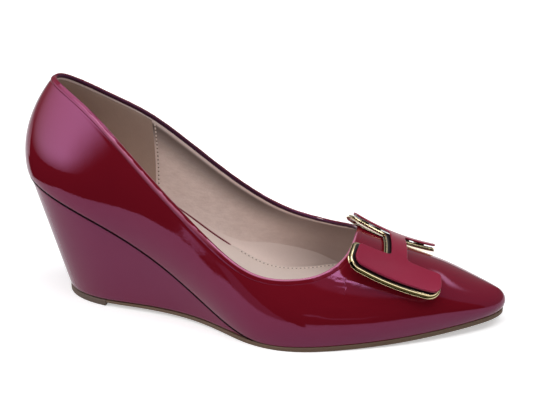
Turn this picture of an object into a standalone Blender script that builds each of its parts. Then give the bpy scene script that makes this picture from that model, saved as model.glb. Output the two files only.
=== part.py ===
"""Pointed court shoe on a covered wedge, right foot, with a framed flat bow on the vamp.

Sizes are millimetres in the shoe's own frame: X runs from heel to toe, the lateral side is at -Y,
Z is up and the floor is at zero. Meshes are written in metres, and the whole shoe hangs from one
empty that centres it over the floor.
"""
import math
from collections import namedtuple

import bmesh
import bpy
import numpy as np

MM = 0.001                 # metres in a millimetre

# Driving sizes of the last
LENGTH = 240.0             # along the floor, the unit of every share of the length below
BALL_WIDTH = 80.0          # feather line to feather line across the ball
HEEL_HEIGHT = 63.0         # feather line at the back of the heel
INSTEP = 41.0              # crown of the vamp at the throat

# Makings
WALL = 1.8                 # lasted upper with its lining
GAP = 0.3                  # clearance between pieces that touch
INSOLE_THICKNESS = 3.5     # insole board with its padded sock
OUTSOLE_THICKNESS = 2.0    # at the forepart
OUTSOLE_MARGIN = 0.4       # the outsole's edge past the feather line
OUTSOLE_MERGE = 0.45       # where the outsole starts to widen from wedge to upper, share of the length
BALL = 0.60                # where the sole lies on the floor, share of the length
WEDGE_INSET = 0.8          # how far the upper overhangs the wedge
WEDGE_FRONT = 0.53         # where the wedge runs out, share of the length
WEDGE_BACK = 26.5          # back of the wedge at the lift
WEDGE_TAPER = 0.20         # narrowing of the wedge from seat to lift at its back
LIFT_FRONT = 50.5          # front edge of the heel lift

# Throat of the topline
THROAT = 0.700             # its front, share of the length
THROAT_START = 0.600       # where the sides start to round, share of the length
THROAT_SQUARENESS = 4.0    # 2 is an ellipse, more is squarer

# Bow on the vamp: a plate on studs over a metal frame, bent round the crown and up at its ends
BOW_AT = 0.776             # its middle on the crown, share of the length
BOW_LIFT = 0.75            # of the frame over the crown
BOW_TURN = 4.5             # degrees out of the line of the crown, toe end to the medial side
BOW_PITCH = 3.7            # degrees from the slope of the crown, toe end down
BOW_ROLL = 4.4             # degrees down on the medial side
BOW_RADIUS = 50.0          # of the bend across the shoe
BOW_SAG = 115.0            # radius of the bend along the shoe
BOW_LENGTH = 43.6          # of a wing at its tip, along the shoe
BOW_WAIST = 40.6           # of a wing beside the slot
BOW_WIDTH = 51.2           # across both wings
BOW_NECK = 8.0             # length of the neck along the shoe
BOW_SLOT = 23.8            # between the wings at the neck
BOW_SLOT_FLARE = 2.4       # how far each wing draws away from the slot at its ends
BOW_CORNER = 4.0           # radius of the outer corners
BOW_FILLET = 2.4           # radius of the inner corners
FRAME_RIM = 1.6            # how far the frame shows round the plate
STUD_HEIGHT = 0.6
STUD_ACROSS = 19.0         # middle of each stud across the shoe, from the middle of the bow
STUD_DEPTH = 5.0           # of a stud across the shoe

# Thickness of the bow's two layers, which grow from the slot out to the tips
Layer = namedtuple("Layer", "slot tip")
FRAME_THICKNESS = Layer(1.4, 2.4)
PLATE_THICKNESS = Layer(0.8, 1.3)

# Studs on each half of a wing, along the shoe from the middle of the bow
Stud = namedtuple("Stud", "near far")
STUDS = [
    Stud(6.0, 9.0),
    Stud(12.5, 16.5),
]

# Sections of the last from heel to toe. Each runs from the feather line up to the crown.
#   along     place of the feather point, share of the length
#   swing     middle of the feather line to the medial side, mm
#   crest     middle of the crown to the medial side, mm
#   width     half width at the feather line, share of half the ball width
#   seat      height of the feather line, share of the heel height
#   crown     height of the crown over the feather line, share of the instep
#   flare     how far the wall sets out from the feather line, share of the half width
#   rise      length of that start, share of the crown height
#   shoulder  half width over which the crown is round, share of the half width
#   lean      slope of the section's plane at the feather line, forward is positive
#   bend      curve of that plane with height, per mm
Section = namedtuple("Section", "along swing crest width seat crown flare rise shoulder lean bend")
LAST = [
    Section(0.035, 0.0, 0.0, 0.000, 1.000, 1.46, 0.18, 0.30, 0.27, -0.16, 0.0106),
    Section(0.043, 0.0, 0.0, 0.215, 0.993, 1.46, 0.18, 0.30, 0.27, -0.16, 0.0105),
    Section(0.064, 0.0, 0.0, 0.382, 0.962, 1.48, 0.18, 0.30, 0.27, -0.16, 0.0102),
    Section(0.104, 0.0, 0.0, 0.522, 0.902, 1.52, 0.18, 0.30, 0.31, -0.15, 0.0093),
    Section(0.169, -0.2, 0.2, 0.597, 0.797, 1.62, 0.20, 0.30, 0.48, -0.12, 0.0072),
    Section(0.250, -0.6, 0.6, 0.597, 0.642, 1.72, 0.26, 0.30, 0.78, -0.08, 0.0044),
    Section(0.342, -1.0, 1.0, 0.620, 0.427, 1.72, 0.36, 0.30, 0.94, 0.00, 0.0010),
    Section(0.433, -1.4, 1.4, 0.740, 0.193, 1.58, 0.34, 0.30, 0.88, 0.00, 0.0000),
    Section(0.525, -1.7, 1.6, 0.955, 0.050, 1.42, 0.20, 0.32, 0.70, 0.00, 0.0000),
    Section(0.617, -1.5, 1.8, 1.000, 0.035, 1.17, 0.14, 0.42, 0.58, 0.00, 0.0000),
    Section(0.708, 0.0, 1.8, 0.885, 0.042, 0.935, 0.14, 0.46, 0.52, 0.00, 0.0000),
    Section(0.800, 2.6, 3.1, 0.720, 0.057, 0.72, 0.15, 0.52, 0.54, 0.00, 0.0000),
    Section(0.883, 5.1, 5.3, 0.512, 0.077, 0.55, 0.17, 0.56, 0.55, 0.10, -0.0080),
    Section(0.946, 7.0, 7.0, 0.315, 0.097, 0.38, 0.20, 0.60, 0.55, 0.30, -0.0350),
    Section(0.981, 8.0, 8.0, 0.160, 0.109, 0.28, 0.22, 0.62, 0.55, 0.55, -0.0750),
    Section(0.994, 8.4, 8.4, 0.000, 0.114, 0.24, 0.22, 0.62, 0.55, 0.64, -0.0910),
]

# Height of the topline over the feather line, from the back seam to the throat
Topline = namedtuple("Topline", "along lateral medial")
TOPLINE = [
    Topline(0.035, 46.5, 46.5),
    Topline(0.104, 45.6, 45.4),
    Topline(0.169, 43.5, 44.3),
    Topline(0.250, 40.0, 44.3),
    Topline(0.342, 36.7, 42.5),
    Topline(0.433, 34.8, 40.6),
    Topline(0.525, 30.8, 34.8),
    Topline(0.617, 29.2, 31.0),
    Topline(0.708, 30.5, 31.5),
]

# Heights of the outsole's two faces under the wedge, from the lift to the ball
Arch = namedtuple("Arch", "along top bottom")
ARCH = [
    Arch(0.080, 3.1, 1.9),
    Arch(0.210, 3.1, 1.9),
    Arch(0.290, 3.3, 1.9),
    Arch(0.375, 3.1, 1.5),
    Arch(0.458, 2.5, 0.6),
    Arch(0.530, 2.0, -0.1),
    Arch(0.620, 2.0, -0.4),
]

# Mesh density
QUARTER_COLUMNS = 26       # along one side of the opening
THROAT_COLUMNS = 9         # round one side of the throat
VAMP_COLUMNS = 24          # from the throat to the toe
WALL_ROWS = 11             # from feather line to topline or crown
INSOLE_COLUMNS = 56
WEDGE_COLUMNS = 36
WEDGE_ROWS = 4             # from the seat down to the lift
LIFT_COLUMNS = 18
OUTSOLE_COLUMNS = 64
ARC_STEPS = 4              # in each rounded corner of the bow
BOW_STEP = 2.5             # longest facet across the bow
WELD = 0.05                # points closer than this are one, mm
SMOOTH_ANGLE = 40.0        # degrees; sharper edges stay crisp


def spline(knots, values, flat_ends):
    """Cubic spline through the values, with level ends or with straight ends."""
    knots = np.asarray(knots, float)
    values = np.asarray(values, float)
    count = len(knots)
    steps = np.diff(knots)
    slopes = np.diff(values) / steps
    system = np.zeros((count, count))
    right = np.zeros(count)
    for i in range(1, count - 1):
        system[i, i - 1:i + 2] = steps[i - 1], 2.0 * (steps[i - 1] + steps[i]), steps[i]
        right[i] = 6.0 * (slopes[i] - slopes[i - 1])
    system[0, 0] = system[-1, -1] = 1.0
    if flat_ends:
        system[0, :2] = 2.0 * steps[0], steps[0]
        right[0] = 6.0 * slopes[0]
        system[-1, -2:] = steps[-1], 2.0 * steps[-1]
        right[-1] = -6.0 * slopes[-1]
    bends = np.linalg.solve(system, right)

    def at(place):
        place = np.asarray(place, float)
        i = np.clip(np.searchsorted(knots, place, side="right") - 1, 0, count - 2)
        step = steps[i]
        after = (place - knots[i]) / step
        before = 1.0 - after
        curve = (before**3 - before) * bends[i] + (after**3 - after) * bends[i + 1]
        return before * values[i] + after * values[i + 1] + curve * step**2 / 6.0

    return at


def last_column(name, flat_ends=True):
    """One column of the last as a smooth function of the station number."""
    return spline(range(len(LAST)), [getattr(row, name) for row in LAST], flat_ends)


def length_column(table, name, flat_ends):
    """One column of another table as a smooth function of the share of the length."""
    return spline([row.along for row in table], [getattr(row, name) for row in table], flat_ends)


LAST_END = len(LAST) - 1
ALONG = last_column("along")
SWING = last_column("swing")
CREST = last_column("crest")
WIDTH = last_column("width", flat_ends=False)
SEAT = last_column("seat")
CROWN = last_column("crown")
FLARE = last_column("flare")
RISE = last_column("rise")
SHOULDER = last_column("shoulder")
LEAN = last_column("lean")
BEND = last_column("bend")
TOPLINE_RISE = {-1: length_column(TOPLINE, "lateral", True), 1: length_column(TOPLINE, "medial", True)}
ARCH_TOP = length_column(ARCH, "top", False)
ARCH_BOTTOM = length_column(ARCH, "bottom", False)


def solve(function, target, low, high):
    """Place between low and high at which a rising function reaches its target."""
    for _ in range(50):
        middle = 0.5 * (low + high)
        under = function(middle) < target
        low = np.where(under, middle, low)
        high = np.where(under, high, middle)
    return 0.5 * (low + high)


def station_at(share):
    """Station of the last whose feather point lies at a share of the length."""
    share = np.asarray(share, float)
    return solve(ALONG, share, np.zeros_like(share), np.full_like(share, LAST_END))


def unit(vectors):
    """The vectors at length one."""
    return vectors / np.linalg.norm(vectors, axis=-1, keepdims=True)


def seat_height(x):
    """Height of the feather line at a place along the floor."""
    return SEAT(station_at(x / LENGTH)) * HEEL_HEIGHT


def last_rise(station, share):
    """Height over the feather line, at a share of the way from there to the crown."""
    rest = 1.0 - share
    start = 3.0 * rest**2 * share * RISE(station)
    return (start + 3.0 * rest * share**2 + share**3) * CROWN(station) * INSTEP


def last_point(station, share, side):
    """Point of the last at a station, from the feather line (share 0) to the crown (share 1)."""
    rest = 1.0 - share
    spread = rest**3 + 3.0 * rest**2 * share * (1.0 + FLARE(station))
    spread = spread + 3.0 * rest * share**2 * SHOULDER(station)
    half = WIDTH(station) * BALL_WIDTH / 2.0
    rise = last_rise(station, share)
    to_crest = share * (2.0 - share)
    middle = SWING(station) * (1.0 - to_crest) + CREST(station) * to_crest
    x = ALONG(station) * LENGTH + LEAN(station) * rise + BEND(station) * rise**2
    y = middle + side * half * spread
    z = SEAT(station) * HEEL_HEIGHT + rise
    return np.stack(np.broadcast_arrays(x, y, z), axis=-1)


def last_normal(station, share, side):
    """Outward normal of the last."""
    step = 1e-3
    station = np.clip(station, step, LAST_END - step)
    share = np.clip(share, step, 1.0 - step)
    forward = last_point(station + step, share, side) - last_point(station - step, share, side)
    upward = last_point(station, share + step, side) - last_point(station, share - step, side)
    return unit(side * np.cross(upward, forward))


def feather(station, inset, side):
    """Plan of the feather line, moved inwards by an inset along its own normal."""
    step = 1e-3
    inside = np.clip(station, step, LAST_END - step)
    run = (ALONG(inside + step) - ALONG(inside - step)) * LENGTH
    spread = (WIDTH(inside + step) - WIDTH(inside - step)) * BALL_WIDTH / 2.0
    size = np.hypot(run, spread)
    x = ALONG(station) * LENGTH + inset * spread / size
    half = WIDTH(station) * BALL_WIDTH / 2.0 - inset * run / size
    at_end = (station <= 0.0) | (station >= LAST_END)
    return x, SWING(station) + side * np.where(at_end, 0.0, np.maximum(half, 0.0))


def wedge_foot(station, side):
    """Plan of the wedge's lower edge, drawn in and forward from the seat, most at the back."""
    x, y = feather(station, WEDGE_INSET, side)
    front = WEDGE_FRONT * LENGTH
    back = ALONG(0.0) * LENGTH + WEDGE_INSET
    draw = np.clip((front - x) / (front - back), 0.0, 1.0)**2
    middle = SWING(station)
    return x + draw * (WEDGE_BACK - back), middle + (y - middle) * (1.0 - WEDGE_TAPER * draw)


def foot_station(x):
    """Station at which the wedge's lower edge passes a place along the floor."""
    return solve(lambda station: wedge_foot(station, 1)[0], x, 0.0, station_at(WEDGE_FRONT))


def outsole_top(x):
    """Upper face of the outsole, under the wedge and then under the upper."""
    under_upper = seat_height(x) - GAP
    under_wedge = np.minimum(ARCH_TOP(x / LENGTH), under_upper)
    return np.where(x < BALL * LENGTH, under_wedge, under_upper)


def outsole_bottom(x):
    """Tread face of the outsole, flat on the floor at the ball."""
    forepart = seat_height(x) - GAP - OUTSOLE_THICKNESS
    bottom = np.where(x < BALL * LENGTH, ARCH_BOTTOM(x / LENGTH), forepart)
    return np.maximum(bottom, 0.0)


def outsole_plan(station, side):
    """Outline of the outsole: the wedge's foot behind, a margin round the feather line in front."""
    foot_x, foot_y = wedge_foot(station, side)
    sole_x, sole_y = feather(station, -OUTSOLE_MARGIN, side)
    merge = np.clip((ALONG(station) - OUTSOLE_MERGE) / (BALL - OUTSOLE_MERGE), 0.0, 1.0)
    merge = merge * merge * (3.0 - 2.0 * merge)
    return foot_x + (sole_x - foot_x) * merge, foot_y + (sole_y - foot_y) * merge


class Shell:
    """Points and faces gathered from grids, to be welded into one closed mesh."""

    def __init__(self):
        self.points = []
        self.faces = []

    def grid(self, rows):
        """Quads over an array of points."""
        rows = np.asarray(rows)
        down, across = rows.shape[:2]
        base = len(self.points)
        self.points.extend(rows.reshape(-1, 3))
        for i in range(down - 1):
            for j in range(across - 1):
                corner = base + i * across + j
                self.faces.append((corner, corner + 1, corner + across + 1, corner + across))

    def solid(self, name, surface):
        """Closed mesh object of the gathered faces."""
        mesh = bpy.data.meshes.new(name)
        mesh.from_pydata([tuple(point) for point in np.asarray(self.points) * MM], [], self.faces)
        shape = bmesh.new()
        shape.from_mesh(mesh)
        bmesh.ops.remove_doubles(shape, verts=shape.verts, dist=WELD * MM)
        bmesh.ops.dissolve_degenerate(shape, edges=shape.edges, dist=0.1 * WELD * MM)
        bmesh.ops.recalc_face_normals(shape, faces=shape.faces)
        shape.to_mesh(mesh)
        shape.free()
        mesh.shade_smooth()
        mesh.set_sharp_from_angle(angle=math.radians(SMOOTH_ANGLE))
        mesh.materials.append(surface)
        piece = bpy.data.objects.new(name, mesh)
        bpy.context.collection.objects.link(piece)
        return piece


def upper_columns(side):
    """Stations of the upper's columns, the share at which each ends, and how many are open on top."""
    first = station_at(THROAT_START)
    throat = station_at(THROAT)
    turn = np.linspace(0.0, math.pi / 2.0, THROAT_COLUMNS + 1)
    power = 2.0 / THROAT_SQUARENESS
    quarter = np.linspace(0.0, first, QUARTER_COLUMNS + 1)[:-1]
    rounding = first + (throat - first) * np.sin(turn)**power
    vamp = np.linspace(throat, LAST_END, VAMP_COLUMNS + 1)[1:]
    opening = np.concatenate([quarter, rounding])
    topline = TOPLINE_RISE[side](ALONG(opening))
    low = np.zeros_like(opening)
    top = solve(lambda share: last_rise(opening, share), topline, low, low + 1.0)
    closing = np.concatenate([np.zeros_like(quarter), 1.0 - np.abs(np.cos(turn))**power])
    top = top + (1.0 - top) * closing
    stations = np.concatenate([opening, vamp])
    return stations, np.concatenate([top, np.ones_like(vamp)]), len(opening)


def upper_walls(side):
    """Outer and inner faces of one side of the upper, columns by rows."""
    stations, tops, open_count = upper_columns(side)
    share = tops[:, None] * np.linspace(0.0, 1.0, WALL_ROWS + 1)[None, :]
    station = np.broadcast_to(stations[:, None], share.shape)
    outer = last_point(station, share, side)
    normal = last_normal(station, share, side)
    # Both sides share their points at the back seam, the toe and the crown
    for seam in (np.s_[0, :, 1], np.s_[-1, :, 1], np.s_[open_count - 1:, -1, 1]):
        normal[seam] = 0.0
    inner = outer - WALL * unit(normal)
    inner[:, 0, 2] = outer[:, 0, 2]
    return outer, inner, open_count


def make_upper(surface):
    """Hollow upper, open at the topline and under the foot."""
    shell = Shell()
    for side in (-1, 1):
        outer, inner, open_count = upper_walls(side)
        shell.grid(outer)
        shell.grid(inner)
        shell.grid([outer[:, 0], inner[:, 0]])
        shell.grid([outer[:open_count, -1], inner[:open_count, -1]])
    return shell.solid("upper", surface)


def slab(name, stations, plans, heights, surface, rows=1):
    """Solid between an upper and a lower outline, each with a plan and a height along the floor."""
    shell = Shell()
    down = np.linspace(0.0, 1.0, rows + 1)[:, None, None]
    walls = {}
    for side in (-1, 1):
        edges = []
        for plan, height in zip(plans, heights):
            x, y = plan(stations, side)
            edges.append(np.stack([x, y, height(x)], axis=-1))
        walls[side] = edges[0] * (1.0 - down) + edges[1] * down
        shell.grid(walls[side])
    for edge in (np.s_[0], np.s_[-1], np.s_[:, 0], np.s_[:, -1]):
        shell.grid([walls[-1][edge], walls[1][edge]])
    return shell.solid(name, surface)


def make_insole(surface):
    """Insole with its sock, inside the wall of the upper."""
    def plan(station, side):
        return feather(station, WALL + GAP, side)

    def top(x):
        return seat_height(x) + INSOLE_THICKNESS

    stations = np.linspace(0.0, LAST_END, INSOLE_COLUMNS)
    return slab("insole", stations, (plan, plan), (top, seat_height), surface)


def make_wedge(surface):
    """Wedge block under the upper, from the heel seat to the arch."""
    def plan(station, side):
        return feather(station, WEDGE_INSET, side)

    def top(x):
        return seat_height(x) - GAP

    def bottom(x):
        return outsole_top(x) + GAP

    stations = np.linspace(0.0, station_at(WEDGE_FRONT), WEDGE_COLUMNS)
    return slab("wedge_heel", stations, (plan, wedge_foot), (top, bottom), surface, WEDGE_ROWS)


def make_lift(surface):
    """Top piece under the back of the wedge, flat on the floor."""
    stations = np.linspace(0.0, foot_station(LIFT_FRONT), LIFT_COLUMNS)
    return slab("heel_lift", stations, (wedge_foot, wedge_foot), (outsole_top, np.zeros_like), surface)


def make_outsole(surface):
    """Thin outsole from the lift through the arch and the ball to the toe."""
    stations = np.linspace(foot_station(LIFT_FRONT + GAP), LAST_END, OUTSOLE_COLUMNS)
    plans = (outsole_plan, outsole_plan)
    return slab("outsole", stations, plans, (outsole_top, outsole_bottom), surface)


def rounded(corners, radii):
    """Points of a path through corners, with an arc in place of each one between the ends."""
    corners = np.array(corners, float)
    path = [corners[0]]
    for before, corner, after, radius in zip(corners, corners[1:], corners[2:], radii):
        back = unit(before - corner)
        ahead = unit(after - corner)
        half_angle = math.acos(back @ ahead) / 2.0
        centre = corner + unit(back + ahead) * radius / math.sin(half_angle)
        start = corner + back * radius / math.tan(half_angle) - centre
        finish = corner + ahead * radius / math.tan(half_angle) - centre
        sweep = math.pi - 2.0 * half_angle
        for share in np.linspace(0.0, 1.0, ARC_STEPS + 1):
            arc = math.sin((1.0 - share) * sweep) * start + math.sin(share * sweep) * finish
            path.append(centre + arc / math.sin(sweep))
    return np.array(path)


def bow_rows(rim):
    """Places across the bow from tip to tip, and its half length along the shoe at each."""
    neck = BOW_NECK / 2.0 + rim
    slot = BOW_SLOT / 2.0 - rim
    wing = BOW_LENGTH / 2.0 + rim
    tip = BOW_WIDTH / 2.0 + rim
    waist = BOW_WAIST / 2.0 + rim
    corners = [(0.0, neck), (slot, neck), (slot + BOW_SLOT_FLARE, waist), (tip, wing), (tip, 0.0)]
    path = rounded(corners, [BOW_FILLET - rim, BOW_FILLET + rim, BOW_CORNER + rim])
    studs = STUD_ACROSS + np.array([-0.5, 0.5]) * STUD_DEPTH
    places = np.concatenate([path[:, 0], studs, np.arange(0.0, tip, BOW_STEP)])
    places = np.unique(np.round(places, 1))
    half = np.interp(places, path[:, 0], path[:, 1])
    return np.concatenate([-places[:0:-1], places]), np.concatenate([half[:0:-1], half])


def bow_place():
    """Seat of the bow on the crown, with its directions along the shoe, across it and up."""
    station = station_at(BOW_AT)
    step = 1e-3
    along = unit(last_point(station + step, 1.0, 1) - last_point(station - step, 1.0, 1))
    up = last_normal(station, 1.0, 1) + last_normal(station, 1.0, -1)
    across = unit(np.cross(up, along))
    up = np.cross(along, across)
    seat = last_point(station, 1.0, 1) + up * BOW_LIFT
    turn = math.radians(BOW_TURN)
    along = along * math.cos(turn) + across * math.sin(turn)
    across = np.cross(up, along)
    pitch = math.radians(BOW_PITCH)
    along = along * math.cos(pitch) - up * math.sin(pitch)
    up = np.cross(along, across)
    roll = math.radians(BOW_ROLL)
    across = across * math.cos(roll) - up * math.sin(roll)
    return seat, along, across, np.cross(along, across)


def bow_point(along, across, height):
    """Point of the bow from its flat sizes, bent both ways."""
    seat, forward, sideways, up = bow_place()
    angle = across / BOW_RADIUS
    out = (BOW_RADIUS + height) * np.sin(angle)
    rise = (BOW_RADIUS + height) * np.cos(angle) - BOW_RADIUS + along**2 / (2.0 * BOW_SAG)
    return seat + along[..., None] * forward + out[..., None] * sideways + rise[..., None] * up


def bow_levels(across):
    """Heights of the frame's underside and top, the stud heads and the plate's underside and top."""
    outward = (np.abs(across) - BOW_SLOT / 2.0) / (BOW_WIDTH / 2.0 - BOW_SLOT / 2.0)
    outward = np.clip(outward, 0.0, 1.0)
    frame, plate = (layer.slot + (layer.tip - layer.slot) * outward
                    for layer in (FRAME_THICKNESS, PLATE_THICKNESS))
    plate_top = FRAME_THICKNESS.slot + STUD_HEIGHT + GAP + PLATE_THICKNESS.slot
    plate_low = plate_top - plate
    head = plate_low - GAP
    frame_top = head - STUD_HEIGHT
    return frame_top - frame, frame_top, head, plate_low, plate_top


def make_bow_frame(surface):
    """Metal frame of the bow with square studs on top."""
    across, half = bow_rows(FRAME_RIM)
    edges = np.array(STUDS).ravel()
    columns = np.concatenate([[-BOW_LENGTH], -edges[::-1], edges, [BOW_LENGTH]])
    along = np.clip(columns[None, :], -half[:, None], half[:, None])
    across = np.broadcast_to(across[:, None], along.shape)
    bottom, top, head = (bow_point(along, across, level) for level in bow_levels(across)[:3])
    row_middle = np.abs(across[1:, 0] + across[:-1, 0]) / 2.0
    stud_row = np.abs(row_middle - STUD_ACROSS) < STUD_DEPTH / 2.0
    column_middle = np.abs(columns[1:] + columns[:-1]) / 2.0
    stud_column = [any(stud.near < middle < stud.far for stud in STUDS) for middle in column_middle]
    shell = Shell()
    shell.grid(bottom)
    for edge in (np.s_[0], np.s_[-1], np.s_[:, 0], np.s_[:, -1]):
        shell.grid([top[edge], bottom[edge]])
    for i, j in np.ndindex(len(row_middle), len(column_middle)):
        face = np.s_[i:i + 2, j:j + 2]
        if not (stud_row[i] and stud_column[j]):
            shell.grid(top[face])
            continue
        shell.grid(head[face])
        walls = [np.s_[i:i + 2, j], np.s_[i:i + 2, j + 1]]
        if not stud_row[i - 1]:
            walls.append(np.s_[i, j:j + 2])
        if not stud_row[i + 1]:
            walls.append(np.s_[i + 1, j:j + 2])
        for wall in walls:
            shell.grid([head[wall], top[wall]])
    return shell.solid("bow_frame", surface)


def make_bow_plate(surface):
    """Plate of the bow, over the studs of the frame."""
    across, half = bow_rows(0.0)
    along = np.stack([-half, half], axis=-1)
    across = np.stack([across, across], axis=-1)
    bottom, top = (bow_point(along, across, level) for level in bow_levels(across)[3:])
    shell = Shell()
    shell.grid(bottom)
    shell.grid(top)
    for edge in (np.s_[0], np.s_[-1], np.s_[:, 0], np.s_[:, -1]):
        shell.grid([top[edge], bottom[edge]])
    return shell.solid("bow_plate", surface)


def material(name, color, roughness, metallic):
    """Plain surface with a colour, a roughness and a metallic value."""
    made = bpy.data.materials.new(name)
    made.use_nodes = True
    shader = made.node_tree.nodes["Principled BSDF"]
    shader.inputs["Base Color"].default_value = (*color, 1.0)
    shader.inputs["Roughness"].default_value = roughness
    shader.inputs["Metallic"].default_value = metallic
    return made


def centre_over_floor(pieces):
    """Hang the pieces from one empty, so that the middle of their box stands over the origin."""
    corners = np.array([vertex.co for piece in pieces for vertex in piece.data.vertices])
    middle = (corners.min(axis=0) + corners.max(axis=0)) / 2.0
    shoe = bpy.data.objects.new("shoe", None)
    shoe.location = (-middle[0], -middle[1], 0.0)
    bpy.context.collection.objects.link(shoe)
    for piece in pieces:
        piece.parent = shoe


def clear_scene():
    for item in list(bpy.data.objects):
        bpy.data.objects.remove(item, do_unlink=True)


def main():
    clear_scene()
    patent = material("patent_leather", (0.24, 0.004, 0.035), 0.06, 0.0)
    cover = material("wedge_cover", (0.20, 0.005, 0.05), 0.08, 0.0)
    lining = material("sock_lining", (0.55, 0.38, 0.32), 0.75, 0.0)
    tread = material("outsole_tan", (0.36, 0.24, 0.16), 0.6, 0.0)
    gold = material("polished_gold", (0.85, 0.68, 0.36), 0.12, 1.0)
    satin = material("satin_burgundy", (0.30, 0.02, 0.06), 0.35, 0.0)
    centre_over_floor([
        make_upper(patent),
        make_insole(lining),
        make_wedge(cover),
        make_lift(tread),
        make_outsole(tread),
        make_bow_frame(gold),
        make_bow_plate(satin),
    ])
    bpy.context.view_layer.update()


main()
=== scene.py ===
import math

import bmesh
import bpy
import numpy as np
from mathutils import Matrix, Vector


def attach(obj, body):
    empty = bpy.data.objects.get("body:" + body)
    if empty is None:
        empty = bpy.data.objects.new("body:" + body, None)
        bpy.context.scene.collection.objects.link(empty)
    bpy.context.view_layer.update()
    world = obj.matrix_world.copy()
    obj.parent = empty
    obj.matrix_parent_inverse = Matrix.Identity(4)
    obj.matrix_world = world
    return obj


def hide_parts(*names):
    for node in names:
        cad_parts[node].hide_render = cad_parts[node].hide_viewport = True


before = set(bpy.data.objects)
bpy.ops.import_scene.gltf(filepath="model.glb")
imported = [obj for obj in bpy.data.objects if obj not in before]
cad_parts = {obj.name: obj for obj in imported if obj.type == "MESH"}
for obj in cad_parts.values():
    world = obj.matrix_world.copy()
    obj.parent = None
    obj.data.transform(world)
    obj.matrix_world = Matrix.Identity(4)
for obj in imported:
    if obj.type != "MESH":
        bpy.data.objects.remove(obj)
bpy.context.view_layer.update()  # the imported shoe, in metres, one body
print("frame loaded:", ", ".join(sorted(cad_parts)))

mm = 0.001

# sizes of the last, in millimetres from its own zero at the floor behind the heel
shoe = dict(
    shift=(-123.7333, 0.9541, 0.0),  # from that zero to the middle of the shoe
    length=240.0,
    ballWidth=80.0,
    heelHeight=63.0,
    instep=41.0,
    wall=1.8,  # upper with its lining
    gap=0.3,
    throat=0.700,  # front of the opening, share of the length
    throatStart=0.600,
    throatSquareness=3.3,
    ball=0.60,
)

# sections of the last from heel to toe, feather line up to crown
lastColumns = "along swing crest width seat crown flare rise shoulder lean bend".split()
lastRows = [
    (0.035, 0.0, 0.0, 0.000, 1.000, 1.46, 0.18, 0.30, 0.27, -0.16, 0.0106),
    (0.043, 0.0, 0.0, 0.215, 0.993, 1.46, 0.18, 0.30, 0.27, -0.16, 0.0105),
    (0.064, 0.0, 0.0, 0.382, 0.962, 1.48, 0.18, 0.30, 0.27, -0.16, 0.0102),
    (0.104, 0.0, 0.0, 0.522, 0.902, 1.52, 0.18, 0.30, 0.31, -0.15, 0.0093),
    (0.169, -0.2, 0.2, 0.597, 0.797, 1.62, 0.20, 0.30, 0.48, -0.12, 0.0072),
    (0.250, -0.6, 0.6, 0.597, 0.642, 1.72, 0.26, 0.30, 0.78, -0.08, 0.0044),
    (0.342, -1.0, 1.0, 0.620, 0.427, 1.72, 0.36, 0.30, 0.94, 0.00, 0.0010),
    (0.433, -1.4, 1.4, 0.740, 0.193, 1.58, 0.34, 0.30, 0.88, 0.00, 0.0000),
    (0.525, -1.7, 1.6, 0.955, 0.050, 1.42, 0.20, 0.32, 0.70, 0.00, 0.0000),
    (0.617, -1.5, 1.8, 1.000, 0.035, 1.17, 0.14, 0.42, 0.58, 0.00, 0.0000),
    (0.708, 0.0, 1.8, 0.885, 0.042, 0.935, 0.14, 0.46, 0.52, 0.00, 0.0000),
    (0.800, 2.6, 3.1, 0.720, 0.057, 0.72, 0.15, 0.52, 0.54, 0.00, 0.0000),
    (0.883, 5.1, 5.3, 0.512, 0.077, 0.55, 0.17, 0.56, 0.55, 0.10, -0.0080),
    (0.946, 7.0, 7.0, 0.315, 0.097, 0.38, 0.20, 0.60, 0.55, 0.30, -0.0350),
    (0.981, 8.0, 8.0, 0.160, 0.109, 0.28, 0.22, 0.62, 0.55, 0.55, -0.0750),
    (0.994, 8.4, 8.4, 0.000, 0.114, 0.24, 0.22, 0.62, 0.55, 0.64, -0.0910),
]
# topline over the feather line: along, lateral, medial
toplineRows = [
    (0.035, 46.5, 46.5), (0.104, 46.2, 45.4), (0.169, 45.3, 44.3), (0.250, 42.6, 44.3),
    (0.342, 38.3, 42.5), (0.433, 35.2, 40.6), (0.525, 31.2, 34.8), (0.617, 30.2, 31.0),
    (0.708, 30.5, 31.5),
]
# outsole under the wedge: along, top, bottom
archRows = [
    (0.080, 3.1, 1.9), (0.210, 3.1, 1.9), (0.290, 3.3, 1.9), (0.375, 3.1, 1.5),
    (0.458, 2.5, 0.6), (0.530, 2.0, -0.1), (0.620, 2.0, -0.4),
]


def smoothLine(knots, values, level):  # cubic spline, ends level or straight
    knots, values = np.asarray(knots, float), np.asarray(values, float)
    count, steps = len(knots), np.diff(knots)
    slopes = np.diff(values) / steps
    system, right = np.zeros((count, count)), np.zeros(count)
    for i in range(1, count - 1):
        system[i, i - 1:i + 2] = steps[i - 1], 2 * (steps[i - 1] + steps[i]), steps[i]
        right[i] = 6 * (slopes[i] - slopes[i - 1])
    system[0, 0] = system[-1, -1] = 1
    if level:
        system[0, :2], right[0] = (2 * steps[0], steps[0]), 6 * slopes[0]
        system[-1, -2:], right[-1] = (steps[-1], 2 * steps[-1]), -6 * slopes[-1]
    bends = np.linalg.solve(system, right)

    def at(place):
        place = np.asarray(place, float)
        i = np.clip(np.searchsorted(knots, place, side="right") - 1, 0, count - 2)
        step = steps[i]
        after = (place - knots[i]) / step
        before = 1 - after
        curve = (before**3 - before) * bends[i] + (after**3 - after) * bends[i + 1]
        return before * values[i] + after * values[i + 1] + curve * step**2 / 6

    return at


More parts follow.
